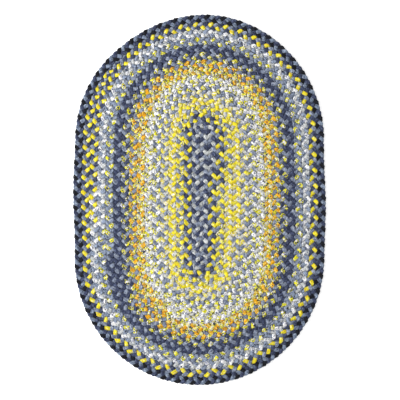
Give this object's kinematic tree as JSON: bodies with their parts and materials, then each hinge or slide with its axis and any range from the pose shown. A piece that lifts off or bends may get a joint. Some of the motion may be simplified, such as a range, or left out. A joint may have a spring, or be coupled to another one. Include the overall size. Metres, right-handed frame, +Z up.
{
  "type": "oval braided rug",
  "caption": "Oval cotton rug: a flat three-strand braid coiled into a spiral, inside one dark border round of braid; lies flat on a floor.",
  "frame": {"origin": "centre of the rug on its flat underside, at floor level", "axes": "+Z up out of the floor, long side along Y, short side along X"},
  "size_m": [0.5184, 0.762, 0.0085],
  "materials": {
    "braided_cotton": "matt cotton cloth, yellow, slate, navy and white strips braided together",
    "border_cotton": "matt cotton cloth, black, navy and light slate strips braided together",
    "slate_cotton": "matt plain cotton strip, slate blue",
    "navy_cotton": "matt plain cotton strip, navy",
    "black_cotton": "matt plain cotton strip, near black",
    "light_slate_cotton": "matt plain cotton strip, light slate",
    "yellow_cotton": "matt plain cotton strip, bright yellow",
    "yellow_print_cotton": "matt printed cotton strip, yellow blotches on pale grey",
    "orange_print_cotton": "matt printed cotton strip, orange blotches on yellow",
    "white_print_cotton": "matt printed cotton strip, dark specks on white",
    "pale_yellow_cotton": "matt cotton strip, pale yellow",
    "lavender_cotton": "matt cotton strip, lavender white",
    "grey_white_cotton": "matt printed cotton strip, grey specks on off white"
  },
  "bodies": {
    "root": {"spiral_braid": "braided_cotton", "border_braid": "border_cotton"}
  },
  "joints": []
}
